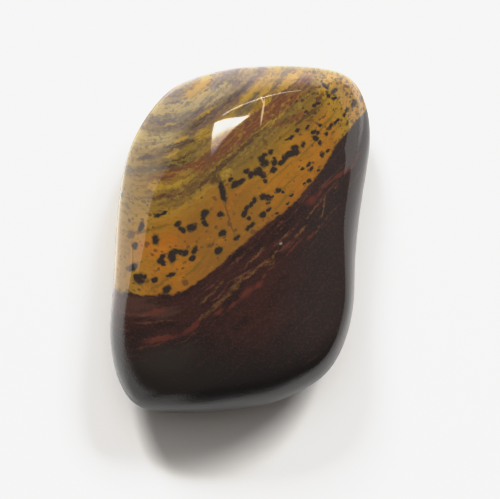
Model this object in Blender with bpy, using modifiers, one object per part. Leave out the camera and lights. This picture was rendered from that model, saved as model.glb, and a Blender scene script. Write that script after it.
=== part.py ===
"""Tumbled mugglestone: one polished pebble of banded ironstone lying on its belly.

+Z is up, +Y runs along the stone's length and +X across it. The origin is on the surface that
the stone lies on, under the middle of its bounding box. Sizes are in millimetres until they are
multiplied by MM.
"""

from math import atan2, cos, degrees, exp, pi, radians

import bmesh
import bpy
from mathutils import Vector

MM = 0.001

# The widest line round the stone, seen from above. It starts at the far right corner and runs
# round by the far left, near left and near right corners, with as many points to each side.
POINTS_A_SIDE = 6
OUTLINE = [
    (10.15, 13.95), (7.5, 15.4), (4.4, 15.7), (1.4, 15.65), (-1.6, 15.35), (-4.6, 14.45),
    (-7.15, 12.85), (-9.75, 8.8), (-10.8, 4.15), (-11.1, -0.6), (-11.25, -5.35), (-11.25, -10.1),
    (-9.5, -14.3), (-6.5, -15.25), (-3.4, -15.35), (-0.3, -15.0), (2.75, -14.4), (5.45, -13.15),
    (7.7, -11.2), (9.3, -7.25), (9.65, -3.0), (10.1, 1.3), (10.8, 5.55), (11.3, 9.8),
]

# Upper face: a low dome, highest near the viewer and falling away to the far end
CROWN_HEIGHT = 10.4
CROWN_AT = (0.6, -4.0)
CROWN_RADIUS_X = 32.0
CROWN_RADIUS_Y = 54.0

# Underside: a rounder belly, with the small flat that the stone lies on
BELLY_AT = (0.3, -1.0)
BELLY_RADIUS_X = 26.0
BELLY_RADIUS_Y = 62.0
FLAT_DEPTH = 0.16

# How high the widest line lies: it is lower at the far end, where the stone is thinner
GIRDLE_HEIGHT = 4.9
GIRDLE_SLOPE = 0.035

# How far in from the outline the rounding reaches, above and below
EDGE_WIDTH = 3.3
LOWER_EDGE_WIDTH = 4.8
# 2 would make the rounding a quarter ellipse, and more leaves it a softer shoulder
ROUNDING_POWER = 2.8
# Where the upper edge was worn rounder or kept sharper: direction in degrees, reach, extra width
WORN_EDGES = [
    (122.0, 30.0, 4.6), (80.0, 26.0, 2.2), (180.0, 36.0, 1.6), (38.0, 18.0, 1.2), (324.0, 34.0, -1.6),
]
# How far in the cage's rings of points lie: a fixed part, and a share of the rounding's width
RING_WIDTH = 1.8
RING_SHARE = 0.3

LEVELS = 6
SUBDIVISIONS = 2
SETTLE_ROUNDS = 4

STONE_COLOUR = (0.165, 0.085, 0.035, 1.0)
POLISH_ROUGHNESS = 0.12


def clear_scene():
    for old in list(bpy.data.objects):
        bpy.data.objects.remove(old, do_unlink=True)


def crown_height(point):
    """Height that the upper face would have over a point of the plan with no rounding."""
    across = point.x - CROWN_AT[0]
    along = point.y - CROWN_AT[1]
    return CROWN_HEIGHT - across**2 / (2 * CROWN_RADIUS_X) - along**2 / (2 * CROWN_RADIUS_Y)


def belly_height(point):
    """Height of the underside, whose lowest part is cut off to leave the flat."""
    across = point.x - BELLY_AT[0]
    along = point.y - BELLY_AT[1]
    return across**2 / (2 * BELLY_RADIUS_X) + along**2 / (2 * BELLY_RADIUS_Y) - FLAT_DEPTH


def edge_width(point):
    """How far the upper rounding reaches in, which depends on the direction from the middle."""
    direction = degrees(atan2(point.y, point.x)) % 360
    width = EDGE_WIDTH
    for centre, reach, extra in WORN_EDGES:
        off = (direction - centre + 180) % 360 - 180
        width += extra * exp(-((off / reach) ** 2))
    return width


def distance_in(point):
    """How far a point of the plan lies inside the outline, along the line from the middle."""
    corners = [Vector(corner) for corner in OUTLINE]
    for here, there in zip(corners, corners[1:] + corners[:1]):
        if here.cross(point) >= 0 and point.cross(there) > 0:
            share = point.cross(there - here) / here.cross(there)
            return point.length * (1 / share - 1)
    return point.length


def rounding(distance, width):
    """Upright where it leaves the outline, at 0, and level where it reaches 1, its width in."""
    off = min(max(1 - distance / width, 0.0), 1.0)
    return (1 - off**ROUNDING_POWER) ** 0.5


def on_surface(point, upper):
    """The plan point lifted to the upper face or lowered to the underside."""
    girdle = GIRDLE_HEIGHT - GIRDLE_SLOPE * point.y
    if upper:
        face, width = crown_height(point), edge_width(point)
    else:
        face, width = belly_height(point), LOWER_EDGE_WIDTH
    return Vector((point.x, point.y, girdle + (face - girdle) * rounding(distance_in(point), width)))


def ring_in_plan(level):
    """The outline moved in to a ring of the cage: level 0 is on the belly, LEVELS on the crown."""
    turn = (2 * level / LEVELS - 1) * pi / 2
    ring = []
    for corner in OUTLINE:
        point = Vector(corner)
        inset = (RING_WIDTH + RING_SHARE * edge_width(point)) * (1 - cos(turn))
        ring.append(point * (1 - inset / point.length))
    return ring


def perimeter_index(i, j):
    """Which outline point belongs to a vertex on the cube's upright faces, or None inside."""
    n = POINTS_A_SIDE
    if j == n:
        return n - i
    if i == 0:
        return n + (n - j)
    if j == 0:
        return 2 * n + i
    if i == n:
        return (3 * n + j) % (4 * n)
    return None


def plan_patch(ring, i, j):
    """A point inside a closed ring, blended from the four sides that face it."""
    n = POINTS_A_SIDE
    u, v = i / n, j / n

    def at(a, b):
        return ring[perimeter_index(a, b)]

    sides = at(0, j) * (1 - u) + at(n, j) * u + at(i, 0) * (1 - v) + at(i, n) * v
    corners = (
        at(0, 0) * (1 - u) * (1 - v)
        + at(n, 0) * u * (1 - v)
        + at(0, n) * (1 - u) * v
        + at(n, n) * u * v
    )
    return sides - corners


def wanted_point(i, j, k, rings):
    """Where the finished surface passes for the cube vertex at grid place i, j, k."""
    around = perimeter_index(i, j)
    plan = plan_patch(rings[k], i, j) if around is None else rings[k][around]
    return on_surface(plan, upper=k > LEVELS / 2)


def surface_point(vert):
    """Where the subdivided surface passes for a vertex of the cage, from its neighbours."""
    n = len(vert.link_edges)
    beside = sum((edge.other_vert(vert).co for edge in vert.link_edges), Vector())
    across = Vector()
    for loop in vert.link_loops:
        across += loop.link_loop_next.link_loop_next.vert.co
    return (vert.co * n * n + beside * 4 + across) / (n * (n + 5))


def stone_cage():
    """A cube of 6 by 6 by 6 cells, pushed out until its smooth surface has the stone's shape."""
    cage = bmesh.new()
    bmesh.ops.create_cube(cage, size=2.0)
    bmesh.ops.subdivide_edges(cage, edges=cage.edges[:], cuts=POINTS_A_SIDE - 1, use_grid_fill=True)
    rings = [ring_in_plan(level) for level in range(LEVELS + 1)]
    verts = list(cage.verts)
    wanted = []
    for vert in verts:
        i, j, k = (round((c + 1) / 2 * POINTS_A_SIDE) for c in vert.co)
        wanted.append(wanted_point(i, j, k, rings))
    for vert, point in zip(verts, wanted):
        vert.co = point
    for _ in range(SETTLE_ROUNDS):
        moves = [point - surface_point(vert) for vert, point in zip(verts, wanted)]
        for vert, move in zip(verts, moves):
            vert.co += move
    return cage


def smooth_body(cage):
    """The subdivided surface of the cage as a mesh of its own."""
    mesh = bpy.data.meshes.new("cage")
    cage.to_mesh(mesh)
    cage.free()
    holder = bpy.data.objects.new("cage", mesh)
    bpy.context.scene.collection.objects.link(holder)
    smooth = holder.modifiers.new("Smooth body", "SUBSURF")
    smooth.levels = SUBDIVISIONS
    smooth.render_levels = SUBDIVISIONS
    bpy.context.view_layer.update()
    graph = bpy.context.evaluated_depsgraph_get()
    body = bpy.data.meshes.new_from_object(holder.evaluated_get(graph))
    bpy.data.objects.remove(holder, do_unlink=True)
    bpy.data.meshes.remove(mesh)
    return body


def rest_on_flat(body):
    """Cuts the lowest part of the belly off at height 0 and puts the plan's middle at the origin."""
    stone = bmesh.new()
    stone.from_mesh(body)
    cut = bmesh.ops.bisect_plane(
        stone,
        geom=stone.verts[:] + stone.edges[:] + stone.faces[:],
        plane_co=(0, 0, 0),
        plane_no=(0, 0, -1),
        clear_outer=True,
    )
    rim = [part for part in cut["geom_cut"] if isinstance(part, bmesh.types.BMEdge)]
    bmesh.ops.edgeloop_fill(stone, edges=rim)
    bmesh.ops.recalc_face_normals(stone, faces=stone.faces[:])
    xs = [vert.co.x for vert in stone.verts]
    ys = [vert.co.y for vert in stone.verts]
    middle = Vector(((min(xs) + max(xs)) / 2, (min(ys) + max(ys)) / 2, 0))
    for vert in stone.verts:
        vert.co = (vert.co - middle) * MM
    stone.to_mesh(body)
    stone.free()


def stone_material():
    material = bpy.data.materials.new("polished_stone")
    material.use_nodes = True
    surface = material.node_tree.nodes["Principled BSDF"]
    surface.inputs["Base Color"].default_value = STONE_COLOUR
    surface.inputs["Roughness"].default_value = POLISH_ROUGHNESS
    surface.inputs["Metallic"].default_value = 0.0
    return material


def build_stone():
    parts = bpy.data.collections.new("Mugglestone")
    bpy.context.scene.collection.children.link(parts)
    body = smooth_body(stone_cage())
    rest_on_flat(body)
    stone = bpy.data.objects.new("tumbled_stone", body)
    parts.objects.link(stone)
    body.materials.append(stone_material())
    body.shade_smooth()
    body.set_sharp_from_angle(angle=radians(30))
    return stone


clear_scene()
build_stone()
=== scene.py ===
from math import cos, pi, radians, sin
from types import SimpleNamespace

import bpy
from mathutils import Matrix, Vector


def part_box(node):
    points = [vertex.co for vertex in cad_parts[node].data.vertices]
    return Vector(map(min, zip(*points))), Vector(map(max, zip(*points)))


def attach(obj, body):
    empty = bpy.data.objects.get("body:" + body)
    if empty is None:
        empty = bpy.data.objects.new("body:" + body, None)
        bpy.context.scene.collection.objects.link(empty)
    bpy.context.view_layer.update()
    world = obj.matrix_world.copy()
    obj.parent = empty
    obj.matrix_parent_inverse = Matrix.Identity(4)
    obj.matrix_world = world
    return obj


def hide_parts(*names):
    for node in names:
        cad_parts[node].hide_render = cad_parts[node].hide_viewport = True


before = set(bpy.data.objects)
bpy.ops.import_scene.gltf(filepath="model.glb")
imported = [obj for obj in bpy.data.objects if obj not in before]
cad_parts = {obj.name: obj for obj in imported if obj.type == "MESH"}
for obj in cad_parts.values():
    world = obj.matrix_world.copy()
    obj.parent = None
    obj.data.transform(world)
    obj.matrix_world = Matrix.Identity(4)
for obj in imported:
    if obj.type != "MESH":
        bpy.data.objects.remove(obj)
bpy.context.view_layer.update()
mm = 0.001

shot = {
    "elevation": 80.0,  # degrees above the table
    "lens": 85.0,
    "sensor": 36.0,
    "distance": 102.7,  # mm from the point it looks at
    "looksAt": (0.64, -1.38, 5.0),  # mm
    "shows": (1.0, 10000.0),  # nearest and farthest, in mm
}


def addCamera():
    tilt = radians(shot["elevation"])
    away = Vector((0, -cos(tilt), sin(tilt))) * shot["distance"]
    place = (Vector(shot["looksAt"]) + away) * mm
    bpy.ops.object.camera_add(location=place, rotation=(pi / 2 - tilt, 0, 0))
    camera = bpy.context.object
    camera.name = "photoView"
    camera.data.lens = shot["lens"]
    camera.data.sensor_width = shot["sensor"]
    camera.data.clip_start, camera.data.clip_end = (distance * mm for distance in shot["shows"])
    bpy.context.scene.camera = camera
    print("camera: %g mm lens, %g degrees up" % (shot["lens"], shot["elevation"]))


class Wire:  # a node's output that can be used in sums
    def __init__(self, socket):
        self.socket = socket

    def put(self, operation, *terms):
        tree = self.socket.id_data
        sumNode = tree.nodes.new("ShaderNodeMath")
        sumNode.operation = operation
        for place, term in enumerate(terms):
            if isinstance(term, Wire):
                tree.links.new(term.socket, sumNode.inputs[place])
            else:
                sumNode.inputs[place].default_value = term
        return Wire(sumNode.outputs[0])

    def __add__(self, other):
        return self.put("ADD", self, other)

    def __radd__(self, other):
        return self.put("ADD", other, self)

    def __sub__(self, other):
        return self.put("SUBTRACT", self, other)

    def __rsub__(self, other):
        return self.put("SUBTRACT", other, self)

    def __mul__(self, other):
        return self.put("MULTIPLY", self, other)

    def __rmul__(self, other):
        return self.put("MULTIPLY", other, self)

    def __truediv__(self, other):
        return self.put("DIVIDE", self, other)

    def __pow__(self, other):
        return self.put("POWER", self, other)


class Finish:  # one material, written node by node
    def __init__(self, name):
        self.material = bpy.data.materials.new(name)
        self.material.use_nodes = True
        self.tree = self.material.node_tree
        self.tree.nodes.clear()

    def node(self, kind, settings, sockets, output=0):
        made = self.tree.nodes.new(kind)
        for name, value in settings.items():
            if name == "stops":
                self.setStops(made.color_ramp, value)
            elif name == "points":
                self.setPoints(made.mapping, value)
            else:
                setattr(made, name, value)
        for name, value in sockets.items():
            if isinstance(value, Wire):
                self.tree.links.new(value.socket, made.inputs[name])
            else:
                made.inputs[name].default_value = value
        return Wire(made.outputs[output]) if made.outputs else made

    def setStops(self, ramp, stops):
        while len(ramp.elements) < len(stops):
            ramp.elements.new(1.0)
        for element, (place, colour) in zip(ramp.elements, stops):
            element.position = place
            element.color = colour

    def setPoints(self, mapping, points):
        curve = mapping.curves[0]
        while len(curve.points) < len(points):
            curve.points.new(1.0, 1.0)
        for point, (x, y) in zip(curve.points, points):
            point.location = (x, y)
            point.handle_type = "AUTO"
        mapping.update()

    def objectPlace(self):  # in m, and it stays with the piece when that moves
        return self.node("ShaderNodeTexCoord", {}, {}, 3)

    def split(self, vector):
        first = self.node("ShaderNodeSeparateXYZ", {}, {"Vector": vector})
        return [Wire(socket) for socket in first.socket.node.outputs]

    def join(self, x, y, z):
        return self.node("ShaderNodeCombineXYZ", {}, {"X": x, "Y": y, "Z": z})

    def vector(self, operation, *terms):
        return self.node("ShaderNodeVectorMath", {"operation": operation}, dict(enumerate(terms)))

    def noise(self, vector, scale, detail=2.0, roughness=0.5, output=0):
        values = {"Vector": vector, "Scale": scale, "Detail": detail, "Roughness": roughness}
        return self.node("ShaderNodeTexNoise", {}, values, output)

    def step(self, value, low, high):  # 0 at low and 1 at high, smooth between
        values = {"Value": value, "From Min": low, "From Max": high}
        return self.node("ShaderNodeMapRange", {"interpolation_type": "SMOOTHSTEP"}, values)

    def mix(self, share, first, second):
        return self.node("ShaderNodeMix", {"data_type": "RGBA"}, {0: share, 6: first, 7: second}, 2)

    def course(self, value, points):  # a curve through the given (value, result) pairs
        lowX, highX = points[0][0], points[-1][0]
        lowY, highY = min(y for _, y in points), max(y for _, y in points)
        spanX, spanY = highX - lowX, highY - lowY
        placed = [((x - lowX) / spanX, (y - lowY) / spanY) for x, y in points]
        share = (value - lowX) / spanX
        return self.node("ShaderNodeFloatCurve", {"points": placed}, {"Value": share}) * spanY + lowY

    def layers(self, value, bands):  # a colour ramp through (value, colour) pairs
        low, high = bands[0][0], bands[-1][0]
        stops = [((place - low) / (high - low), colour) for place, colour in bands]
        return self.node("ShaderNodeValToRGB", {"stops": stops}, {"Fac": (value - low) / (high - low)})

    def blots(self, place, marks, merge=0.2):  # 1 in the middle of a mark, 0.5 at its rim
        nearest = None
        for along, across, halfLength, halfWidth, tilt in marks:
            values = {
                "Vector": place,
                "Location": (along, across, 0),
                "Rotation": (0, 0, radians(tilt)),
                "Scale": (halfLength * 2, halfWidth * 2, 1),
            }
            local = self.node("ShaderNodeMapping", {"vector_type": "TEXTURE"}, values)
            blot = self.node("ShaderNodeTexGradient", {"gradient_type": "SPHERICAL"}, {"Vector": local}, 1)
            nearest = blot if nearest is None else blot.put("SMOOTH_MAX", nearest, blot, merge)
        return nearest

    def spots(self, place, scale, largest):  # round spots of mixed sizes, the largest as a share of a cell
        distance = self.node("ShaderNodeTexVoronoi", {}, {"Vector": place, "Scale": scale})
        lot = self.split(Wire(distance.socket.node.outputs["Color"]))[0]
        return self.step(distance - lot * lot * largest, 0.0, -0.1)

    def shineOn(self, piece, colour, strength):
        shine = self.node("ShaderNodeEmission", {}, {"Color": colour, "Strength": strength})
        self.node("ShaderNodeOutputMaterial", {}, {"Surface": shine})
        piece.data.materials.append(self.material)

    def coat(self, piece, values):
        surface = self.node("ShaderNodeBsdfPrincipled", {}, values)
        self.node("ShaderNodeOutputMaterial", {}, {"Surface": surface})
        piece.data.materials.append(self.material)


def paint(red, green, blue):  # screen values from 0 to 255, as a linear colour
    linear = []
    for value in (red, green, blue):
        share = value / 255
        linear.append(share / 12.92 if share <= 0.04045 else ((share + 0.055) / 1.055) ** 2.4)
    return (*linear, 1.0)


table = {
    "size": 1.6,  # m
    "colour": paint(238, 238, 237),
    "roughness": 0.6,
    "unevenness": 0.015,  # how much darker its patches are
    "patches": (60.0, 4.0, 0.6),  # how many to a metre, detail and roughness
}


def addTable():
    bpy.ops.object.select_all(action="DESELECT")
    bpy.ops.mesh.primitive_plane_add(size=table["size"], location=(0, 0, 0))
    top = bpy.context.object
    top.name = "tableTop"
    paper = Finish("whitePaper")
    shade = paper.noise(paper.objectPlace(), *table["patches"])
    light = table["colour"]
    dark = (*(channel * (1 - table["unevenness"]) for channel in light[:3]), 1.0)
    paper.coat(top, {"Base Color": paper.mix(shade, dark, light), "Roughness": table["roughness"]})
    print("table: plain white paper")


# Lamps light the table and the stone, and cards are shown by the polish alone. turn is in degrees left of
# straight ahead, lean in degrees from upright, and glow in W to a square metre. away, up, side and size
# are in m, with side to the right in the lamp's own plane.
lamps = {
    "rightLamp": {
        "turn": -41, "away": 0.84, "up": 0.85, "side": 0, "lean": 45, "size": (0.42, 0.24), "glow": 98.0,
    },
    "leftLamp": {
        "turn": 23, "away": 0.88, "up": 0.8, "side": 0, "lean": 42.3, "size": (0.26, 0.36), "glow": 99.6,
    },
    "topLamp": {
        "turn": 0, "away": 0.3, "up": 1.16, "side": 0, "lean": 75, "size": (0.8, 0.7), "glow": 4.6,
    },
    "frontFill": {
        "turn": 180, "away": 0.6, "up": 0.25, "side": 0, "lean": 22, "size": (0.8, 0.4), "glow": 1.44,
    },
}
cards = {
    "nearWall": {  # a pale wall at the near left
        "turn": 125, "away": 0.35, "up": 0.045, "side": 0, "lean": 0,
        "size": (0.28, 0.09), "glow": 3.2,
    },
    "windowFrame": {  # a bright bar above the main window
        "turn": 30, "away": 0.319, "up": 0.251, "side": 0.2, "lean": 0,
        "size": (0.217, 0.005), "glow": 32.0,
    },
    "leftCard": {  # bright paper on the table to the left
        "turn": 90, "away": 0.182, "up": 0.0003, "side": 0.165, "lean": -90,
        "size": (0.338, 0.37), "glow": 2.0,
    },
    "sill": {  # a bright ledge further left
        "turn": 86.6, "away": 0.35, "up": 0.015, "side": 0, "lean": 0,
        "size": (0.157, 0.03), "glow": 5.6,
    },
    "farCard": {  # bright paper behind the stone
        "turn": 0, "away": 0.184, "up": 0.0003, "side": 0.018, "lean": -90,
        "size": (0.062, 0.332), "glow": 3.6,
    },
}


def addLamp(name, lamp, onPolish):
    turn, lean = radians(lamp["turn"]), radians(lamp["lean"])
    width, height = lamp["size"]
    ahead = Vector((-sin(turn), cos(turn), 0))
    toRight = Vector((ahead.y, -ahead.x, 0))
    place = ahead * lamp["away"] + toRight * lamp["side"] + Vector((0, 0, lamp["up"]))
    facing = ahead * cos(lean) + Vector((0, 0, sin(lean)))
    bpy.ops.object.light_add(type="AREA", location=place)
    light = bpy.context.object
    light.name = name
    light.rotation_mode = "QUATERNION"
    light.rotation_quaternion = facing.to_track_quat("Z", "Y")
    light.data.shape = "RECTANGLE"
    light.data.size, light.data.size_y = width, height
    light.data.energy = lamp["glow"] * width * height
    light.visible_camera = False
    light.visible_glossy = onPolish
    light.visible_diffuse = not onPolish


def hideFromAllButPolish(card):
    card.visible_camera = False
    card.visible_diffuse = False
    card.visible_transmission = False
    card.visible_shadow = False


windows = {  # upright panes that only the polish shows, dimmer towards the top; lengths in m
    "away": 0.32,
    "panes": {
        "mainWindow": {
            "turn": 30, "side": 0.053, "size": (0.714, 0.25), "glow": 1.75, "dimming": 0.78,
            "colour": (0.96, 1.01, 1.12, 1.0),
        },
        "cornerWindow": {
            "turn": -35, "side": 0.0, "size": (0.151, 0.13), "glow": 0.8, "dimming": 0.78,
            "colour": (1.04, 0.98, 0.95, 1.0),
        },
    },
    "dimmed": (0.09, 0.22),  # heights between which a pane grows dimmer
    "evenLeft": (-0.05, -0.26),  # further left than this from its middle, it doesn't
    "evenColour": (0.95, 0.86, 0.8, 1.0),
}


def addWindow(name, pane):
    turn = radians(pane["turn"])
    width, height = pane["size"]
    ahead = Vector((-sin(turn), cos(turn), 0))
    middle = ahead * windows["away"] + Vector((ahead.y, -ahead.x, 0)) * pane["side"]
    middle.z = height / 2
    bpy.ops.object.select_all(action="DESELECT")
    bpy.ops.mesh.primitive_plane_add(size=1, location=middle, rotation=(pi / 2, 0, turn))
    window = bpy.context.object
    window.name = name
    window.scale = (width, height, 1)
    bpy.ops.object.transform_apply(location=False, rotation=False, scale=True)
    glass = Finish(name + "Glass")
    side, rise, _ = glass.split(glass.objectPlace())
    dimmed = glass.step(rise + height / 2, *windows["dimmed"]) * pane["dimming"]
    shine = glass.mix(dimmed, pane["colour"], (0.0, 0.0, 0.0, 1.0))
    shine = glass.mix(glass.step(side, *windows["evenLeft"]), shine, windows["evenColour"])
    glass.shineOn(window, shine, pane["glow"])
    hideFromAllButPolish(window)


# Panes with odd corners, which are given in degrees left and up. away is in m, and fade says how bright a
# pane is at which height in m.
openings = {
    "skylight": {  # makes the bright shape on the crown
        "away": 0.6,
        "corners": [(21.0, 51.0), (14.0, 47.5), (18.3, 38.1), (0.0, 40.0)],
        "glow": 17.0,
        "colour": (1.0, 1.0, 1.0),
        "fade": [
            (0.37, 0.95), (0.386, 0.85), (0.388, 0.62), (0.39, 0.8), (0.412, 0.8), (0.421, 0.55),
            (0.43, 0.3), (0.45, 0.22), (0.466, 0.08), (0.475, 0.0),
        ],
    },
    "rightWindow": {
        "away": 0.33,
        "corners": [(-48.0, 32.0), (-64.0, 28.0), (-48.0, -1.3), (-76.0, -1.3)],
        "glow": 1.3,
        "colour": (1.04, 0.98, 0.95),
        "fade": [(0.0, 1.0), (1.0, 1.0)],
    },
}
cornersFrom = Vector((0, 0, 8 * mm))  # the point that the corners' degrees are measured at


def addOpening(name, opening):
    bpy.ops.object.select_all(action="DESELECT")
    bpy.ops.mesh.primitive_plane_add(size=0.1)
    pane = bpy.context.object
    pane.name = name
    bpy.ops.object.mode_set(mode="EDIT")
    bpy.ops.mesh.select_all(action="DESELECT")
    bpy.ops.object.mode_set(mode="OBJECT")
    for index, (left, up) in enumerate(opening["corners"]):
        turn, rise = radians(left), radians(up)
        towards = Vector((-sin(turn) * cos(rise), cos(turn) * cos(rise), sin(rise)))
        place = towards * opening["away"] + cornersFrom
        pane.data.vertices[index].select = True
        move = place - pane.data.vertices[index].co
        bpy.ops.object.mode_set(mode="EDIT")
        bpy.ops.transform.translate(value=move)
        bpy.ops.mesh.select_all(action="DESELECT")
        bpy.ops.object.mode_set(mode="OBJECT")
    glass = Finish(name + "Glass")
    place = glass.objectPlace()
    tint = opening["colour"]
    fade = [(height, (*(share * channel for channel in tint), 1.0)) for height, share in opening["fade"]]
    glass.shineOn(pane, glass.layers(glass.split(place)[2], fade), opening["glow"])
    hideFromAllButPolish(pane)


blackCard = {  # keeps the reflection along the near edge dark; lengths in m
    "size": (0.109, 0.16),
    "at": (0.0455, -0.036),
    "colour": paint(12, 12, 12),
    "roughness": 0.9,
}


def addBlackCard():
    width, height = blackCard["size"]
    bpy.ops.object.select_all(action="DESELECT")
    bpy.ops.mesh.primitive_plane_add(size=1, location=(*blackCard["at"], height / 2), rotation=(pi / 2, 0, 0))
    card = bpy.context.object
    card.name = "blackCard"
    card.scale = (width, height, 1)
    bpy.ops.object.transform_apply(location=True, rotation=True, scale=True)
    Finish("blackFelt").coat(card, {"Base Color": blackCard["colour"], "Roughness": blackCard["roughness"]})
    hideFromAllButPolish(card)


room = {
    "brightness": 0.1,
    "colour": (1.0, 0.8, 0.66, 1.0),
    # How the film takes brightness: true to the middle, then steeper, with a soft shoulder at the top
    "film": [
        (0.0, 0.0), (0.3, 0.3), (0.45, 0.52), (0.52, 0.65), (0.6, 0.785), (0.7, 0.855), (0.85, 0.895),
        (1.0, 0.92), (2.5, 1.0),
    ],
}


def addRoom():
    world = bpy.data.worlds.new("dimRoom")
    bpy.context.scene.world = world
    world.use_nodes = True
    sky = world.node_tree.nodes["Background"]
    sky.inputs["Color"].default_value = room["colour"]
    sky.inputs["Strength"].default_value = room["brightness"]


def setFilm(view):
    view.view_transform = "Standard"
    view.use_curve_mapping = True
    mapping = view.curve_mapping
    mapping.use_clip = False
    curve = mapping.curves[3]
    while len(curve.points) < len(room["film"]):
        curve.points.new(1.0, 1.0)
    for point, place in zip(curve.points, room["film"]):
        point.location = place
        point.handle_type = "AUTO_CLAMPED"
    mapping.update()


def addLight():
    addRoom()
    for name, lamp in lamps.items():
        addLamp(name, lamp, onPolish=False)
    for name, card in cards.items():
        addLamp(name, card, onPolish=True)
    for name, pane in windows["panes"].items():
        addWindow(name, pane)
    for name, opening in openings.items():
        addOpening(name, opening)
    addBlackCard()
    setFilm(bpy.context.scene.view_settings)
    paneCount = len(windows["panes"]) + len(openings)
    print("light: %d lamps, %d cards, %d windows and a dim room" % (len(lamps), len(cards), paneCount))


stoneShape = {
    "startOver": 1.08,  # the cube that it starts from, as a share of the stone's box
    "cuts": 23,
    "ballShare": 0.55,  # how far the cube is blown up before it is fitted
    "fits": 2,  # how often it is fitted and relaxed
    "relaxing": 6,  # rounds of smoothing after each fit
    "settling": 2,  # rounds of smoothing after the last
    "softness": 0.5,
    "swell": 0.05,  # mm, height of the slow unevenness that tumbling leaves
    "swellSize": 5.0,  # mm
}


def clearSelection():
    if bpy.context.object is not None and bpy.context.object.mode != "OBJECT":
        bpy.ops.object.mode_set(mode="OBJECT")
    bpy.ops.object.select_all(action="DESELECT")


def addModifier(piece, name, kind, **settings):
    modifier = piece.modifiers.new(name, kind)
    for key, value in settings.items():
        setattr(modifier, key, value)
    bpy.context.view_layer.objects.active = piece
    bpy.ops.object.modifier_apply(modifier=name)


def makeGuide():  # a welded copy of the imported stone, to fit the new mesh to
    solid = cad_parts["tumbled_stone"]
    guide = solid.copy()
    guide.data = solid.data.copy()
    guide.name = "fittingGuide"
    guide.parent = None
    bpy.context.scene.collection.objects.link(guide)
    clearSelection()
    guide.select_set(True)
    bpy.context.view_layer.objects.active = guide
    bpy.ops.object.mode_set(mode="EDIT")
    bpy.ops.mesh.select_all(action="SELECT")
    bpy.ops.mesh.remove_doubles(threshold=1e-7)
    bpy.ops.mesh.normals_make_consistent(inside=False)
    bpy.ops.object.mode_set(mode="OBJECT")
    return guide


def makeStone():
    low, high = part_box("tumbled_stone")
    guide = makeGuide()
    clearSelection()
    size = (high - low) * stoneShape["startOver"]
    bpy.ops.mesh.primitive_cube_add(size=1, location=(low + high) / 2, scale=size)
    stone = bpy.context.object
    stone.name = "mugglestone"
    bpy.ops.object.transform_apply(location=True, rotation=True, scale=True)
    bpy.ops.object.mode_set(mode="EDIT")
    bpy.ops.mesh.select_all(action="SELECT")
    bpy.ops.mesh.subdivide(number_cuts=stoneShape["cuts"])
    bpy.ops.transform.tosphere(value=stoneShape["ballShare"])
    bpy.ops.object.mode_set(mode="OBJECT")
    fit = {"target": guide, "wrap_method": "NEAREST_SURFACEPOINT"}
    softness = stoneShape["softness"]
    for _ in range(stoneShape["fits"]):
        addModifier(stone, "fit", "SHRINKWRAP", **fit)
        addModifier(stone, "relax", "SMOOTH", iterations=stoneShape["relaxing"], factor=softness)
    addModifier(stone, "fitAgain", "SHRINKWRAP", **fit)
    addModifier(stone, "finer", "SUBSURF", levels=1, render_levels=1)
    addModifier(stone, "fitFiner", "SHRINKWRAP", **fit)
    addModifier(stone, "settle", "SMOOTH", iterations=stoneShape["settling"], factor=softness)
    addModifier(stone, "finest", "SUBSURF", levels=1, render_levels=1)
    swell = bpy.data.textures.new("tumblingSwell", "CLOUDS")
    swell.noise_scale = stoneShape["swellSize"] * mm
    swell.noise_depth = 1
    height = stoneShape["swell"] * mm
    addModifier(stone, "swell", "DISPLACE", texture=swell, strength=height, mid_level=0.5)
    bpy.data.objects.remove(guide, do_unlink=True)
    clearSelection()
    stone.select_set(True)
    bpy.context.view_layer.objects.active = stone
    bpy.ops.object.shade_smooth()
    print("stone: %d faces" % len(stone.data.polygons))
    return stone


stoneRun = {  # how the layers lie in the stone; lengths in mm
    "strike": 40.0,  # degrees from +X to the line that the layers follow over the top
    "dip": 0.5,  # how far they move across for each mm down
    "foldAt": -5.2,  # left of this x they turn up
    "foldRise": 0.42,
    "foldSoftness": 1.5,
    "crownAt": (0.39, -4.43, 10.4),  # the top of the dome
    "crownSpread": (64.0, 108.0),  # twice its two radii
    "topReach": (1.6, 0.96),  # depths below the dome where placed marks begin, and where they are full
    "waves": (0.16, 0.3),  # slow waves to a mm, along the layers and across them
    "waveHeight": 0.5,
    "ragged": (2.2, 3.0, 0.6),  # fine waves to a mm, detail and roughness
    "raggedHeight": 0.45,
    # Noises drawn out along the layers: how many to a mm along and across, detail and roughness
    "blotch": (0.6, 2.2, 7.0, 0.7),
    "thread": (0.3, 5.0, 4.0, 0.6),
    "grain": (2.4, 4.4, 4.0, 0.7),
    "strings": (0.22, 1.3, 1.0, 0.5),
    "smoke": (0.35, 0.8, 5.0, 0.6),
    "edge": [  # where the gold layers end: along, across
        (-17, 0.9), (-12, -1.3), (-10.9, -0.95), (-10.2, -1.2), (-9, -1.25), (-8, -1.45), (-6.5, -1.5),
        (-3, -1.55), (1, -1.5), (4.2, -1.7), (7, -1.45), (9.2, -1.05), (11.8, -0.6), (14.2, -0.85),
        (17, -1.6),
    ],
    "edgeSoftness": 0.12,
}


def drawnOut(stone, point, name):
    alongRate, acrossRate, detail, roughness = stoneRun[name]
    place = stone.join(point.along * alongRate, point.wavy * acrossRate, point.height * alongRate)
    return stone.noise(place, 1.0, detail, roughness)


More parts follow.
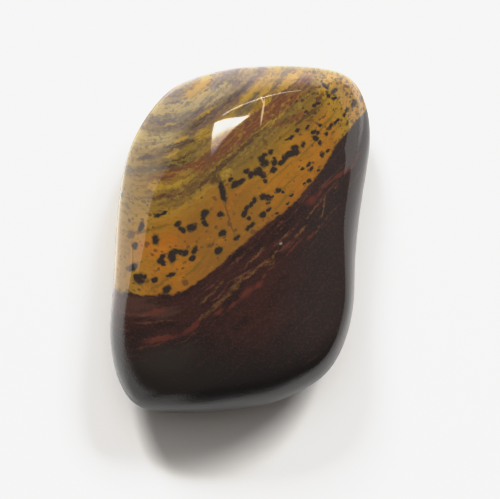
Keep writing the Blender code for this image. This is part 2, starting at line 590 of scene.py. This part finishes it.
def layOut(stone):  # where a point of the surface lies in the layers, and the noises that they share
    point = SimpleNamespace()
    toMm = {"Vector": stone.objectPlace(), "Scale": (1 / mm, 1 / mm, 1 / mm)}
    point.inMm = stone.node("ShaderNodeMapping", {}, toMm)
    point.x, point.y, point.height = stone.split(point.inMm)
    run = {"Vector": point.inMm, "Rotation": (0, 0, -radians(stoneRun["strike"]))}
    point.along, point.across, _ = stone.split(stone.node("ShaderNodeMapping", {}, run))
    crownX, crownY, crownTop = stoneRun["crownAt"]
    spreadX, spreadY = stoneRun["crownSpread"]
    dome = crownTop - (point.x - crownX) ** 2 / spreadX - (point.y - crownY) ** 2 / spreadY
    point.onTop = stone.step(dome - point.height, *stoneRun["topReach"])

    # Place across the layers, with slow waves and fine raggedness
    fold = stoneRun["foldAt"] - point.x
    foldRise = fold.put("SMOOTH_MAX", fold, 0.0, stoneRun["foldSoftness"]) * stoneRun["foldRise"]
    point.level = point.across - (crownTop - point.height) * stoneRun["dip"] - foldRise
    alongRate, acrossRate = stoneRun["waves"]
    slowPlace = stone.join(point.along * alongRate, point.across * acrossRate, point.height * acrossRate)
    point.slow = stone.noise(slowPlace, 1.0)
    place = stone.join(point.along, point.level, point.height)
    point.jitter = stone.noise(place, *stoneRun["ragged"], output=1)
    jitterX, point.jitterY, _ = stone.split(point.jitter)
    waves = (point.slow - 0.5) * stoneRun["waveHeight"]
    point.wavy = point.level + waves + (jitterX - 0.5) * stoneRun["raggedHeight"]
    point.blotch = drawnOut(stone, point, "blotch")
    point.thread = drawnOut(stone, point, "thread")
    point.grain = drawnOut(stone, point, "grain")
    point.mottled = point.blotch * 0.5 + point.grain * 0.5
    return point


goldLook = {
    "rightLayers": [
        (-2.0, paint(124, 78, 34)), (-1.2, paint(140, 90, 32)), (0.0, paint(147, 99, 31)),
        (1.2, paint(147, 100, 32)), (2.2, paint(142, 103, 35)), (2.9, paint(126, 97, 38)),
        (3.5, paint(112, 88, 42)), (4.2, paint(108, 86, 44)), (4.6, paint(98, 72, 44)),
        (5.0, paint(102, 70, 44)), (5.5, paint(98, 63, 44)), (6.0, paint(102, 68, 46)),
        (6.25, paint(142, 112, 40)), (6.6, paint(118, 95, 54)), (7.2, paint(142, 118, 52)),
        (7.8, paint(106, 84, 68)), (8.1, paint(90, 70, 68)), (8.45, paint(122, 106, 72)),
        (9.0, paint(95, 78, 80)), (9.6, paint(99, 86, 86)), (10.3, paint(118, 106, 92)),
        (11.5, paint(104, 92, 94)),
    ],
    "leftLayers": [
        (-2.0, paint(134, 84, 34)), (-1.0, paint(152, 98, 32)), (0.5, paint(157, 102, 31)),
        (2.0, paint(156, 101, 30)), (3.0, paint(151, 105, 32)), (3.8, paint(148, 112, 40)),
        (4.4, paint(112, 84, 40)), (4.9, paint(104, 76, 42)), (5.4, paint(120, 94, 40)),
        (5.8, paint(112, 76, 42)), (6.1, paint(106, 65, 44)), (6.4, paint(94, 76, 52)),
        (6.75, paint(80, 70, 50)), (7.1, paint(116, 94, 44)), (7.4, paint(110, 88, 44)),
        (7.75, paint(84, 62, 46)), (8.1, paint(106, 88, 46)), (8.6, paint(112, 94, 46)),
        (9.1, paint(98, 82, 68)), (9.6, paint(95, 79, 76)), (10.0, paint(130, 116, 84)),
        (10.8, paint(102, 89, 88)), (11.5, paint(112, 100, 94)),
    ],
    "cornerGold": paint(146, 122, 48),  # over the far right corner
    "flankGold": paint(152, 128, 56),  # over the left flank
    "yellow": paint(148, 126, 56),
    "umber": paint(76, 54, 47),
    "olive": paint(108, 82, 34),
    "lightOrange": paint(168, 117, 38),
    "hotOrange": paint(166, 90, 29),
    "dusk": paint(106, 74, 37),
    "redBrown": paint(108, 60, 43),
    "darkStrand": paint(66, 48, 38),
    "slate": paint(94, 82, 64),
    "brightGold": paint(158, 130, 44),
    "cream": paint(160, 146, 92),
    "leftFrom": (2.5, -0.5),  # mm along, between which the left layers take over
    "cornerFrom": (11.0, 13.2),  # mm along, between which the corner's gold comes in
    "cornerShare": 0.7,
    "flankFrom": (-6.5, -10.0),  # x in mm, between which the flank's gold comes in
    "flankShare": 0.75,
    "upperFrom": (2.8, 4.2),  # mm across, between which the upper mottling takes over from the lower
    # Mottling: its noise, the values where it begins and is full, its strength and its colour
    "upperMottling": [
        ("mottled", 0.515, 0.575, 0.45, "yellow"), ("mottled", 0.485, 0.425, 0.55, "umber"),
        ("thread", 0.54, 0.62, 0.35, "umber"), ("thread", 0.45, 0.38, 0.28, "brightGold"),
    ],
    "lowerMottling": [("mottled", 0.5, 0.4, 0.5, "olive"), ("blotch", 0.52, 0.7, 0.4, "lightOrange")],
    "cornerMottling": [("grain", 0.5, 0.4, 0.5, "olive")],
}

# Marks in the gold layers, named for their colours: how strong, then for each its place along and across,
# its half length and half width in mm, and its tilt in degrees
strands = {
    "hotOrange": (0.28, [(-5.6, 1.7, 1.8, 0.6, 0), (0.5, 1.9, 1.6, 0.4, 0)]),
    "dusk": (0.5, [
        (-1.2, 0.6, 3.2, 2.4, 0), (-2.6, -0.9, 3.0, 0.5, 0), (10.2, 2.4, 1.6, 0.5, 0),
    ]),
    "slate": (0.85, [
        (-3.0, 6.6, 1.5, 0.22, 0), (6.8, 6.8, 0.9, 0.25, 0), (12.4, 6.4, 1.2, 0.16, -10),
        (10.3, 6.35, 0.9, 0.13, -5), (2.3, 9.3, 1.4, 0.3, 0), (8.2, 6.9, 0.5, 0.12, 0),
        (7.6, 9.2, 1.6, 0.2, -5),
    ]),
    "brightGold": (0.85, [
        (2.4, 7.4, 0.6, 0.28, 0), (3.6, 8.55, 1.1, 0.09, -4), (5.2, 6.27, 1.1, 0.07, 0),
        (8.4, 7.5, 1.2, 0.16, 0), (9.5, 6.75, 0.8, 0.22, 0), (11.4, 5.85, 1.2, 0.28, -5),
        (8.7, 5.9, 0.5, 0.14, 0), (1.6, 3.8, 0.5, 0.25, 0), (-3.4, 5.6, 0.5, 0.24, 20),
        (14.3, 3.4, 1.1, 0.42, 0), (0.9, 7.95, 0.5, 0.12, -10), (-0.5, 7.35, 0.5, 0.16, 10),
        (-1.9, 5.4, 0.9, 0.16, 0), (7.0, 4.45, 1.6, 0.13, -3), (5.2, 10.3, 1.3, 0.4, 0),
        (1.2, 9.0, 0.5, 0.14, 0),
    ]),
    "redBrown": (0.9, [
        (-1.2, 6.2, 1.1, 0.18, 0), (0.5, 5.7, 0.5, 0.34, 0), (2.3, 5.4, 0.9, 0.28, 0),
        (4.8, 5.5, 2.3, 0.55, -2), (8.2, 5.1, 2.2, 0.46, -7), (10.2, 4.65, 1.4, 0.3, -12),
        (12.6, 4.2, 0.8, 0.1, -40), (9.0, 3.5, 1.4, 0.2, -18), (-3.4, 4.9, 0.45, 0.13, 0),
        (12.6, 3.15, 0.5, 0.09, 0), (12.6, 5.0, 0.8, 0.26, -15),
    ]),
    "olive": (0.75, [
        (5.3, 0.95, 1.3, 0.07, 0), (4.4, 1.5, 0.9, 0.05, 0), (3.7, -0.95, 1.0, 0.06, 5),
        (5.2, -0.2, 1.0, 0.06, 0), (8.6, 0.75, 1.2, 0.07, 0), (11.2, 1.2, 1.3, 0.08, 5),
        (12.9, 2.6, 1.3, 0.08, 0), (-6.3, 2.9, 1.3, 0.08, 5), (-5.2, -0.5, 1.2, 0.08, 10),
        (-8.4, -0.65, 0.9, 0.07, 15), (7.6, 2.9, 1.0, 0.07, -5),
    ]),
    "cream": (0.65, [
        (-1.1, 8.35, 1.5, 0.36, 0), (2.2, 9.95, 1.5, 0.36, 0), (4.5, 9.6, 1.3, 0.3, 0),
        (5.9, 9.1, 1.3, 0.3, 0),
    ]),
    "darkStrand": (0.9, [
        (2.2, 4.5, 1.7, 0.18, 0), (5.3, 4.45, 1.6, 0.13, -3), (-0.4, 6.75, 1.1, 0.18, 0),
        (-0.3, 7.7, 0.7, 0.13, 8), (1.1, 7.55, 0.7, 0.13, -14), (3.0, 8.25, 0.7, 0.15, 0),
        (-2.4, 7.4, 0.5, 0.12, 10), (10.4, 2.75, 1.2, 0.13, -5), (12.2, 3.0, 0.5, 0.11, 0),
        (8.6, 3.65, 0.4, 0.14, 0), (-0.6, 4.35, 1.0, 0.13, 0), (-3.4, 4.9, 0.3, 0.12, 0),
        (7.1, 8.1, 1.2, 0.15, -3), (0.7, 4.0, 0.45, 0.3, 0), (1.5, 8.95, 1.0, 0.12, 0),
    ]),
}


def mottle(stone, point, gold, where, mottling):
    for noise, low, high, strength, colour in mottling:
        patches = stone.step(getattr(point, noise), low, high)
        gold = stone.mix(where * patches * strength, gold, goldLook[colour])
    return gold


def goldLayers(stone, point):
    right = stone.layers(point.wavy, goldLook["rightLayers"])
    left = stone.layers(point.wavy, goldLook["leftLayers"])
    leftward = stone.step(point.along + (point.slow - 0.5) * 3, *goldLook["leftFrom"])
    gold = stone.mix(leftward, right, left)
    cornerAt = point.along - point.level * 0.2 + (point.slow - 0.5) * 4
    point.corner = stone.step(cornerAt, *goldLook["cornerFrom"])
    gold = stone.mix(point.corner * goldLook["cornerShare"], gold, goldLook["cornerGold"])
    flank = stone.step(point.x - (point.slow - 0.5) * 3, *goldLook["flankFrom"])
    gold = stone.mix(flank * goldLook["flankShare"], gold, goldLook["flankGold"])
    point.inLayers = stone.join(point.along + (point.jitterY - 0.5) * 0.5, point.wavy, 0.0)
    for name, (strength, marks) in strands.items():
        near = stone.blots(point.inLayers, marks)
        ragged = stone.step(near + (point.grain - 0.5) * 0.8, 0.15, 0.6)
        gold = stone.mix(ragged * strength, gold, goldLook[name])
    upper = stone.step(point.wavy, *goldLook["upperFrom"])
    gold = mottle(stone, point, gold, upper, goldLook["upperMottling"])
    gold = mottle(stone, point, gold, 1 - upper, goldLook["lowerMottling"])
    return mottle(stone, point, gold, point.corner, goldLook["cornerMottling"])


# The specks are laid out as those marks are, as they are seen from above
specks = {
    "colour": paint(46, 38, 34),
    "rim": (0.34, 0.58),  # how near its middle a speck begins and is full, where 1 is the middle
    "haloColour": paint(98, 76, 35),
    "haloRim": (0.04, 0.46),
    "haloShare": 0.65,
    "faintColour": paint(84, 56, 40),
    "faintShare": 0.75,
    "dustShare": 0.75,
    "pepperShare": 0.65,
    "shift": 0.5,  # mm, how far the fine waves push them about
    "dark": [
        (-9.25, 3.2, 0.38, 0.3, 0), (-9.45, 2.0, 0.42, 0.38, -30), (-9.65, 2.35, 0.2, 0.18, 0),
        (-9.1, 1.85, 0.2, 0.15, 0), (-8.6, 1.05, 0.28, 0.24, -30), (-7.3, 0.45, 0.36, 0.18, -15),
        (-8.35, -0.25, 0.36, 0.26, 0), (-6.35, 3.65, 0.42, 0.3, 60), (-7.2, 2.0, 0.28, 0.24, 0),
        (-6.85, 2.15, 0.25, 0.17, 0), (-7.15, 1.6, 0.2, 0.22, 0), (-6.3, 1.6, 0.45, 0.3, 55),
        (-5.85, 1.75, 0.35, 0.22, -35), (-5.55, 1.4, 0.25, 0.18, -50), (-5.25, 1.1, 0.3, 0.25, 0),
        (-4.55, 0.72, 0.38, 0.18, 30), (-5.1, 0.35, 0.22, 0.18, 0), (-3.05, -0.6, 0.33, 0.28, 15),
        (-4.2, 3.4, 0.25, 0.22, 0), (-4.18, 2.8, 0.2, 0.32, 0), (-3.45, 2.4, 0.42, 0.3, -10),
        (-8.0, 4.55, 0.22, 0.28, 0), (-6.55, 5.45, 0.42, 0.18, 38), (-4.95, 5.2, 0.25, 0.18, -20),
        (-4.45, 4.98, 0.35, 0.12, -20), (-1.85, 0.35, 0.33, 0.22, 0), (-2.4, 1.95, 0.2, 0.33, 5),
        (-1.9, 2.6, 0.35, 0.28, 0), (-2.25, 2.4, 0.2, 0.15, 0), (-0.95, 1.7, 0.27, 0.22, 0),
        (-1.2, -0.75, 0.28, 0.18, 0), (0.25, -0.7, 0.42, 0.2, 0), (0.62, -0.1, 0.13, 0.18, 0),
        (0.6, 0.45, 0.3, 0.22, 15), (1.05, 0.68, 0.28, 0.18, 25), (1.55, 0.68, 0.25, 0.17, 20),
        (2.0, 0.8, 0.28, 0.2, 15), (2.7, 0.6, 0.28, 0.24, -30), (3.0, 0.25, 0.28, 0.22, -30),
        (2.7, -0.1, 0.15, 0.13, 0), (3.35, 0.12, 0.15, 0.1, 0), (1.7, -0.6, 0.28, 0.2, 0),
        (2.4, -0.6, 0.26, 0.14, 0), (4.1, 0.2, 0.27, 0.16, 0), (4.3, -0.15, 0.12, 0.15, 0),
        (2.7, -1.2, 0.14, 0.12, 0), (3.95, -1.15, 0.15, 0.08, 20), (4.7, -0.8, 0.17, 0.09, 10),
        (1.6, 2.9, 0.38, 0.27, 0), (2.2, 2.8, 0.35, 0.22, 0), (1.65, 3.5, 0.2, 0.18, 0),
        (3.15, 3.2, 0.24, 0.2, 0), (3.25, 2.7, 0.35, 0.25, 0), (3.85, 2.6, 0.4, 0.28, 0),
        (3.95, 2.1, 0.25, 0.35, 10), (3.75, 1.5, 0.16, 0.2, 20), (4.85, 3.2, 0.3, 0.28, 0),
        (4.75, 2.75, 0.35, 0.3, 0), (4.95, 1.85, 0.3, 0.25, 0), (5.2, 3.35, 0.3, 0.18, 0),
        (5.85, 3.2, 0.24, 0.18, 10), (8.1, 3.15, 0.25, 0.15, 10), (7.75, 3.25, 0.25, 0.07, 0),
        (8.9, 3.3, 0.2, 0.15, 0), (9.8, 3.05, 0.25, 0.13, 10), (5.45, 2.3, 0.3, 0.25, 20),
        (5.7, 2.55, 0.15, 0.15, 0), (5.95, 1.9, 0.3, 0.2, -10), (6.4, 2.05, 0.3, 0.22, 15),
        (6.9, 2.1, 0.32, 0.24, 0), (7.25, 1.95, 0.25, 0.22, 0), (7.65, 2.25, 0.33, 0.28, 10),
        (7.55, 1.8, 0.25, 0.22, 30), (8.4, 2.0, 0.24, 0.18, 30), (9.65, 1.85, 0.22, 0.24, 0),
        (9.95, 2.4, 0.26, 0.16, 0), (10.15, 2.1, 0.2, 0.14, 20), (9.7, 1.3, 0.18, 0.17, 0),
        (6.95, 0.4, 0.18, 0.15, 0), (7.65, 0.35, 0.25, 0.14, 15), (7.5, -0.1, 0.25, 0.11, 30),
        (9.1, 0.35, 0.25, 0.18, 30), (9.75, 0.3, 0.24, 0.12, 0), (6.72, -0.75, 0.25, 0.12, 10),
        (6.2, -0.76, 0.14, 0.08, 0), (7.95, -0.6, 0.16, 0.1, 30), (10.65, 1.6, 0.2, 0.14, 30),
        (11.4, 1.9, 0.38, 0.14, 15), (12.2, 1.97, 0.35, 0.12, 5), (10.8, 2.5, 0.2, 0.12, 0),
        (11.65, 4.2, 0.17, 0.14, 0), (12.05, 4.2, 0.2, 0.13, 0), (10.7, 4.25, 0.16, 0.1, 0),
        (13.3, 4.2, 0.18, 0.15, 45), (14.1, 4.32, 0.38, 0.18, 10), (13.6, 3.78, 0.25, 0.13, -20),
        (13.2, 2.0, 0.2, 0.12, 0), (13.7, 2.25, 0.3, 0.11, 20), (14.75, 2.4, 0.45, 0.16, 20),
        (13.75, 5.2, 0.15, 0.35, 0), (0.45, 3.05, 0.85, 0.26, 62),
    ],
    "faint": [
        (-9.65, 3.55, 0.2, 0.18, 0), (-9.15, 1.4, 0.2, 0.16, 0), (-7.15, 3.85, 0.25, 0.22, 0),
        (-4.75, 1.3, 0.22, 0.15, 0), (-3.2, 0.18, 0.35, 0.2, 0), (-9.85, 4.7, 0.3, 0.16, 25),
        (-9.3, 5.1, 0.22, 0.14, 30), (-7.6, 5.6, 0.35, 0.4, 0), (-7.0, 5.2, 0.25, 0.2, 0),
        (-6.85, -0.85, 0.25, 0.3, 0), (-7.75, 1.6, 0.15, 0.12, 0), (-1.95, 1.1, 0.2, 0.18, 0),
        (-0.9, 0.55, 0.22, 0.2, 0), (-0.95, -0.1, 0.18, 0.15, 0), (4.25, 3.85, 0.18, 0.14, 0),
        (0.1, -1.2, 0.22, 0.2, 0), (9.0, 1.45, 0.12, 0.1, 0), (7.35, 1.05, 0.12, 0.12, 0),
        (10.8, 0.6, 0.2, 0.1, 10), (11.3, 0.45, 0.2, 0.08, 20), (11.8, 0.65, 0.15, 0.08, 10),
        (6.1, 4.25, 0.18, 0.3, -20), (9.5, 5.3, 0.2, 0.12, 20), (15.3, 4.2, 0.3, 0.13, 0),
        (15.2, 3.3, 0.2, 0.12, 0), (14.4, 1.5, 0.2, 0.1, 0), (8.2, -0.3, 0.12, 0.1, 0),
        (10.4, 3.4, 0.35, 0.1, -20), (-0.35, 1.55, 0.9, 0.07, 65), (-0.95, 0.2, 0.8, 0.05, 70),
    ],
}

glintingScratches = {  # pale scratches on the crown, with the glint that light catches in them painted in as colour, and laid out as the specks are
    "marks": [(8.45, 7.4, 0.3, 0.05, 73), (7.8, 6.6, 0.85, 0.06, 42)],
    "colour": paint(196, 178, 140),
    "share": 0.6,
}


def addSpecks(stone, point, gold):
    along, wavy, height, corner = point.along, point.wavy, point.height, point.corner

    # The placed ones, which lie on top
    centred = stone.vector("SUBTRACT", point.jitter, (0.5, 0.5, 0.5))
    shift = stone.vector("MULTIPLY", centred, (specks["shift"], specks["shift"], 0.0))
    plan = stone.vector("ADD", stone.join(along, point.across, 0.0), shift)
    faint = stone.step(stone.blots(plan, specks["faint"]), 0.35, 0.65)
    gold = stone.mix(faint * point.onTop * specks["faintShare"], gold, specks["faintColour"])
    dark = stone.blots(plan, specks["dark"])
    halo = stone.step(dark, *specks["haloRim"]) * point.onTop
    gold = stone.mix(halo * specks["haloShare"], gold, specks["haloColour"])
    dark = dark + (point.grain - 0.5) * 0.25
    gold = stone.mix(stone.step(dark, *specks["rim"]) * point.onTop, gold, specks["colour"])

    # Strings that grew at random through the layers, then dust, and pepper towards the far right corner
    inStrings = stone.step(drawnOut(stone, point, "strings"), 0.46, 0.56)
    inGold = stone.step(wavy, 6.0, 4.5)
    seeds = stone.spots(stone.join(along * 0.8, wavy * 1.2, height * 0.8), 1.5, 0.62)
    grown = seeds * inStrings * inGold
    gold = stone.mix(grown * (1 - point.onTop * (1 - corner * 0.7)), gold, specks["colour"])
    dust = stone.spots(stone.join(along, wavy * 1.4, height), 2.6, 0.6)
    dusty = inGold * stone.step(point.blotch + corner * 0.2, 0.45, 0.56) * specks["dustShare"]
    gold = stone.mix(dust * dusty, gold, specks["faintColour"])
    pepper = stone.spots(stone.join(along * 0.6, wavy * 1.3, height), 3.1, 0.6)
    peppered = stone.step(along + point.level * 0.7, 9.0, 13.0) * stone.step(wavy, 6.0, 4.5)
    gold = stone.mix(pepper * peppered * specks["pepperShare"], gold, specks["colour"])
    unshifted = stone.join(along, point.across, 0.0)
    # Painted glint: scratches on the crown, painted pale as they look where they catch the light
    glintingScratch = stone.step(stone.blots(unshifted, glintingScratches["marks"], 0.01), 0.0, 0.5)
    return stone.mix(glintingScratch * point.onTop * glintingScratches["share"], gold, glintingScratches["colour"])


ironLook = {
    "black": paint(36, 27, 26),
    "blackBelow": paint(33, 30, 29),
    "blackFrom": (-8.0, -12.5),  # y in mm, between which the black comes in
    "maroon": paint(52, 33, 31),
    "greyRight": paint(43, 39, 38),
    "greyFrom": (3.0, 9.0),  # x in mm, between which the grey comes in
    "greyShare": 0.85,
    "rust": paint(104, 60, 48),
    "hairShare": 0.5,
    "speckleShare": 0.16,
    "veinGold": paint(106, 74, 44),
    "veinRed": paint(100, 50, 40),
    # Veins and patches, laid out as the marks in the gold layers
    "goldVeins": [
        (-7.4, -4.15, 0.6, 0.16, 0), (-6.4, -4.12, 0.9, 0.2, 3), (-5.1, -4.0, 1.0, 0.2, 3),
        (-3.9, -3.9, 0.5, 0.26, 8), (-3.2, -3.7, 0.5, 0.26, 0), (-2.3, -3.8, 0.7, 0.16, 0),
        (-1.3, -3.77, 0.5, 0.14, 0), (-0.5, -4.05, 0.45, 0.22, -15), (0.2, -3.85, 0.5, 0.1, 15),
        (-4.9, -2.85, 0.6, 0.12, 8), (-6.2, -3.1, 0.9, 0.14, 6), (3.3, -3.8, 0.65, 0.1, 0),
        (4.5, -4.7, 0.4, 0.07, 25), (5.6, -4.1, 0.4, 0.07, 35), (6.05, -3.85, 0.4, 0.08, 30),
        (6.4, -3.5, 0.4, 0.08, 40), (6.75, -3.25, 0.3, 0.07, 30), (8.2, -3.3, 0.25, 0.07, 10),
        (-0.9, -2.9, 1.0, 0.07, 8), (1.7, -3.3, 0.8, 0.07, 12), (5.0, -3.3, 0.7, 0.07, 10),
    ],
    "redVeins": [
        (-5.0, -4.95, 0.6, 0.16, 0), (-3.5, -4.8, 0.75, 0.3, 5), (-2.4, -4.9, 0.5, 0.2, 0),
        (-1.6, -4.65, 0.3, 0.12, 20), (-6.3, -4.65, 0.5, 0.2, 0), (-8.7, -4.3, 1.0, 0.24, 5),
        (-10.1, -2.3, 0.7, 0.22, 0), (-11.3, -4.2, 1.2, 0.16, 0), (5.7, -2.6, 0.7, 0.3, 0),
        (6.6, -2.65, 0.5, 0.16, 0), (7.7, -2.6, 0.8, 0.14, -5), (9.0, -2.75, 0.8, 0.18, -8),
        (10.2, -3.1, 0.8, 0.16, -10), (11.5, -3.0, 0.9, 0.14, 5), (3.6, -4.7, 0.5, 0.14, 0),
        (2.0, -4.4, 1.2, 0.07, 5), (7.8, -3.1, 0.9, 0.08, 0),
    ],
    "fleck": [(1.3, -3.5, 0.14, 0.12, 0)],  # a single light grain
    "fleckColour": paint(120, 122, 116),
    "greenish": [(-11.8, -5.7, 1.8, 0.8, 0)],
    "greenishColour": paint(46, 42, 37),
    "tan": [(-11.2, -1.8, 1.6, 0.7, 0), (-9.7, -2.5, 1.0, 0.35, 0)],
    "tanColour": paint(90, 62, 51),
}


def ironBand(stone, point):
    x, y, along, wavy, grain = point.x, point.y, point.along, point.wavy, point.grain
    smoke = stone.step(drawnOut(stone, point, "smoke"), 0.36, 0.6)
    iron = stone.mix(smoke, ironLook["black"], ironLook["maroon"])
    rightward = stone.step(x - wavy * 0.3, *ironLook["greyFrom"])
    iron = stone.mix(rightward * ironLook["greyShare"], iron, ironLook["greyRight"])
    iron = stone.mix(stone.step(y, *ironLook["blackFrom"]), iron, ironLook["blackBelow"])

    # Hairs that run along the band beside the gold, and a fine rusty speckle
    belt = stone.step(wavy, -6.0, -4.0) * stone.step(wavy, -1.4, -2.2)
    hairPlace = stone.join(along * 0.35, wavy * 3.4 + point.slow * 3.0, point.height * 0.35)
    hairs = stone.noise(hairPlace, 1.0, 3.0, 0.6)
    hair = stone.step(hairs, 0.57, 0.64) * stone.step(grain, 0.35, 0.55) * belt
    iron = stone.mix(hair * ironLook["hairShare"], iron, ironLook["rust"])
    speckle = stone.step(stone.noise(point.inMm, 6.0), 0.48, 0.68) * ironLook["speckleShare"]
    iron = stone.mix(speckle * stone.step(y, -14.0, -9.0), iron, ironLook["rust"])

    # Placed patches and veins, frayed by the hairs
    greenish = stone.step(stone.blots(point.inLayers, ironLook["greenish"]), 0.0, 0.8)
    iron = stone.mix(greenish * 0.6, iron, ironLook["greenishColour"])
    tan = stone.blots(point.inLayers, ironLook["tan"]) + (hairs - 0.5) * 1.4 + (grain - 0.5) * 0.6
    iron = stone.mix(stone.step(tan, 0.1, 0.8) * 0.45, iron, ironLook["tanColour"])
    veinRed = stone.blots(point.inLayers, ironLook["redVeins"]) + (hairs - 0.5) * 0.9
    iron = stone.mix(stone.step(veinRed, 0.25, 0.85) * 0.6, iron, ironLook["veinRed"])
    veinGold = stone.blots(point.inLayers, ironLook["goldVeins"]) + (hairs - 0.5) * 0.8
    filament = stone.step(veinGold, 0.25, 0.75) * stone.step(grain, 0.35, 0.6) * 0.7
    iron = stone.mix(filament, iron, ironLook["veinGold"])
    fleck = stone.step(stone.blots(point.inLayers, ironLook["fleck"]), 0.3, 0.7)
    return stone.mix(fleck * point.onTop, iron, ironLook["fleckColour"])


polish = {
    "refraction": 1.55,
    "roughness": 0.05,
    "unevenness": 0.04,  # how much the roughness varies
    "wornRoughness": 0.19,  # added where the polish is worn
    "wornNear": (-6.0, -14.0),  # y in mm, between which the near edge is worn
    "wornRight": (8.3, 9.3),  # x in mm, between which the right edge is
    "rightShare": 0.4,
    "pits": 0.02,  # mm, depth where it is worn
}


def polishStone(piece):
    stone = Finish("bandedIronstone")
    point = layOut(stone)
    gold = addSpecks(stone, point, goldLayers(stone, point))
    iron = ironBand(stone, point)
    edge = stone.course(point.along, stoneRun["edge"])
    softness = stoneRun["edgeSoftness"]
    colour = stone.mix(stone.step(point.wavy - edge, -softness, softness), iron, gold)
    wornNear = stone.step(point.y - stone.step(point.x, -8.0, -10.5) * 6, *polish["wornNear"])
    wornRight = (1 - wornNear) * stone.step(point.x - point.y * 0.12, *polish["wornRight"])
    worn = wornNear + wornRight * polish["rightShare"]
    dull = worn * polish["wornRoughness"] + (polish["roughness"] - polish["unevenness"] / 2)
    pits = {"Strength": 1.0, "Distance": polish["pits"] * mm, "Height": stone.noise(point.inMm, 6.0) * worn}
    values = {
        "Base Color": colour,
        "Roughness": stone.noise(point.inMm, 0.8, 3.0) * polish["unevenness"] + dull,
        "IOR": polish["refraction"],
        "Normal": stone.node("ShaderNodeBump", {}, pits),
    }
    stone.coat(piece, values)
    print("finish: %d nodes" % len(stone.tree.nodes))


addCamera()
addTable()
addLight()
mugglestone = makeStone()
polishStone(mugglestone)
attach(mugglestone, "root")
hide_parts("tumbled_stone")
